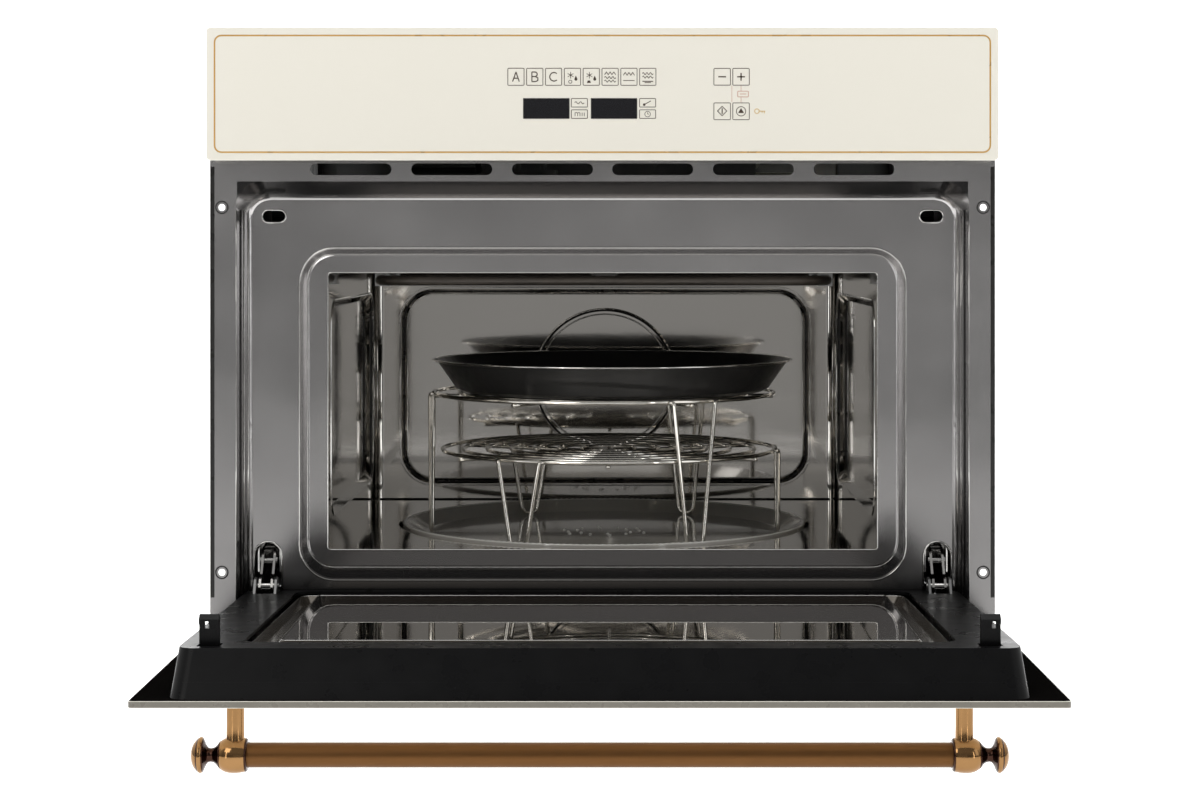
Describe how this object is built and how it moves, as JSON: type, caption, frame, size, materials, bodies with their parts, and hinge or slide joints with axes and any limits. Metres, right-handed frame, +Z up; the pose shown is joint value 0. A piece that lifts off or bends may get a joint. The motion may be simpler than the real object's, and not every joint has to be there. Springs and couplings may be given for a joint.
{
  "type": "built-in microwave oven",
  "caption": "Retro-styled built-in microwave oven with a drop-down door, bronze bar handle, glass turntable, wire racks and crisp pan, door open.",
  "frame": {"origin": "middle of the flat base plate, on its underside", "axes": "+X to the right seen from the front, +Y from the open door to the back of the cabinet niche, +Z up"},
  "size_m": [0.596, 0.829, 0.5015],
  "materials": {
    "cream_glass": "gloss back-painted glass",
    "outer_glass": "back-painted cream glass with a tinted window",
    "display": "black gloss",
    "dark_steel": "grey satin enamel",
    "stainless": "bright satin",
    "zinc": "zinc plated",
    "black_plastic": "satin",
    "black_metal": "satin black",
    "chrome": "polished",
    "clear_glass": "clear",
    "dark_glass": "dark mirror-like",
    "bronze": "satin bronze",
    "antique_brass": "antique polished",
    "heater": "dark oxidised sheath",
    "mica": "mica board",
    "pan_coat": "non-stick black",
    "board": "solder mask",
    "white_plastic": "moulded",
    "copper_iron": "varnished",
    "rubber": "matt"
  },
  "bodies": {
    "oven": {"front_frame": "dark_steel", "cavity_wrap": "stainless", "cavity_floor": "stainless", "cavity_rear_wall": "stainless", "side_panel_left": "zinc", "side_panel_right": "zinc", "top_cover": "zinc", "base_plate": "zinc", "rear_cover": "zinc", "control_panel_glass": "cream_glass", "control_panel_carrier": "black_plastic", "display_windows": "display", "control_board": "board", "touch_sensor_springs": "chrome", "air_duct": "white_plastic", "magnetron": "zinc", "waveguide": "zinc", "waveguide_cover": "mica", "hv_transformer": "copper_iron", "hv_capacitor": "zinc", "fan_housing": "white_plastic", "fan_motor": "zinc", "turntable_motor": "zinc", "grill_element": "heater", "grill_brackets": "zinc", "cavity_lamp": "white_plastic", "interlock_switches": "black_plastic", "latch_brackets": "zinc", "noise_filter": "board", "terminal_block": "white_plastic", "cable_gland": "rubber", "wiring_harness": "rubber", "hinge_arm_left": "chrome", "hinge_arm_right": "chrome", "casing_screws": "zinc", "panel_screws": "zinc"},
    "door": {"door_outer_glass": "outer_glass", "door_inner_frame": "black_plastic", "door_choke_frame": "black_metal", "door_mesh_screen": "black_metal", "door_inner_glass": "dark_glass", "hinge_channels": "zinc", "hinge_pins": "chrome", "hook_pivots": "zinc", "handle_bar": "bronze", "handle_posts": "antique_brass", "handle_finials": "antique_brass", "handle_screws": "zinc"},
    "hook_left": {"door_hook_left": "black_plastic"},
    "hook_right": {"door_hook_right": "black_plastic"},
    "coupler": {"turntable_coupler": "white_plastic"},
    "tray": {"glass_tray": "clear_glass"},
    "roller_cage": {"roller_ring": "white_plastic"},
    "wheel_1": {"roller_1": "white_plastic"},
    "wheel_2": {"roller_2": "white_plastic"},
    "wheel_3": {"roller_3": "white_plastic"},
    "low_rack_body": {"low_rack": "chrome"},
    "high_rack_body": {"high_rack": "chrome"},
    "pan_body": {"crisp_pan": "pan_coat"},
    "fan_rotor": {"fan_impeller": "white_plastic"}
  },
  "joints": [
    {"name": "door_hinge", "type": "hinge", "parent": "oven", "child": "door", "pos_m": [0, -0.2685, 0.031], "axis": [1, 0, 0], "range_deg": [-90, 0]},
    {"name": "hook_left", "type": "hinge", "parent": "door", "child": "hook_left", "pos_m": [-0.252, -0.5496, 0.0234], "axis": [1, 0, 0], "range_deg": [-2, 0], "stiffness_Nm_per_rad": 0.5, "springref_deg": 5.73},
    {"name": "hook_right", "type": "hinge", "parent": "door", "child": "hook_right", "pos_m": [0.252, -0.5496, 0.0234], "axis": [1, 0, 0], "range_deg": [-2, 0], "stiffness_Nm_per_rad": 0.5, "springref_deg": 5.73},
    {"name": "turntable_drive", "type": "hinge", "parent": "oven", "child": "coupler", "pos_m": [0, -0.0865, 0.033], "axis": [0, 0, 1], "continuous": true},
    {"name": "tray_lift", "type": "slide", "parent": "coupler", "child": "tray", "axis": [0, 0, 1], "range_m": [0, 0.018]},
    {"name": "roller_cage_turn", "type": "hinge", "parent": "oven", "child": "roller_cage", "pos_m": [0, -0.0865, 0.0394], "axis": [0, 0, 1], "continuous": true},
    {"name": "wheel_1_turn", "type": "hinge", "parent": "roller_cage", "child": "wheel_1", "pos_m": [0.10392, -0.0265, 0.0394], "axis": [0.866, 0.5, 0], "continuous": true},
    {"name": "wheel_2_turn", "type": "hinge", "parent": "roller_cage", "child": "wheel_2", "pos_m": [-0.10392, -0.0265, 0.0394], "axis": [-0.866, 0.5, 0], "continuous": true},
    {"name": "wheel_3_turn", "type": "hinge", "parent": "roller_cage", "child": "wheel_3", "pos_m": [0, -0.2065, 0.0394], "axis": [0, -1, 0], "continuous": true},
    {"name": "low_rack_lift", "type": "slide", "parent": "tray", "child": "low_rack_body", "axis": [0, 0, 1], "range_m": [0, 0.03]},
    {"name": "high_rack_lift", "type": "slide", "parent": "tray", "child": "high_rack_body", "axis": [0, 0, 1], "range_m": [0, 0.018]},
    {"name": "pan_lift", "type": "slide", "parent": "high_rack_body", "child": "pan_body", "axis": [0, 0, 1], "range_m": [0, 0.02]},
    {"name": "fan_turn", "type": "hinge", "parent": "oven", "child": "fan_rotor", "pos_m": [0.13, 0.2055, 0.355], "axis": [0, 1, 0], "continuous": true}
  ],
  "couplings": [
    {"joint": "roller_cage_turn", "follows": "turntable_drive", "ratio": 0.5},
    {"joint": "wheel_1_turn", "follows": "turntable_drive", "ratio": -8.7591},
    {"joint": "wheel_2_turn", "follows": "turntable_drive", "ratio": -8.7591},
    {"joint": "wheel_3_turn", "follows": "turntable_drive", "ratio": -8.7591}
  ]
}
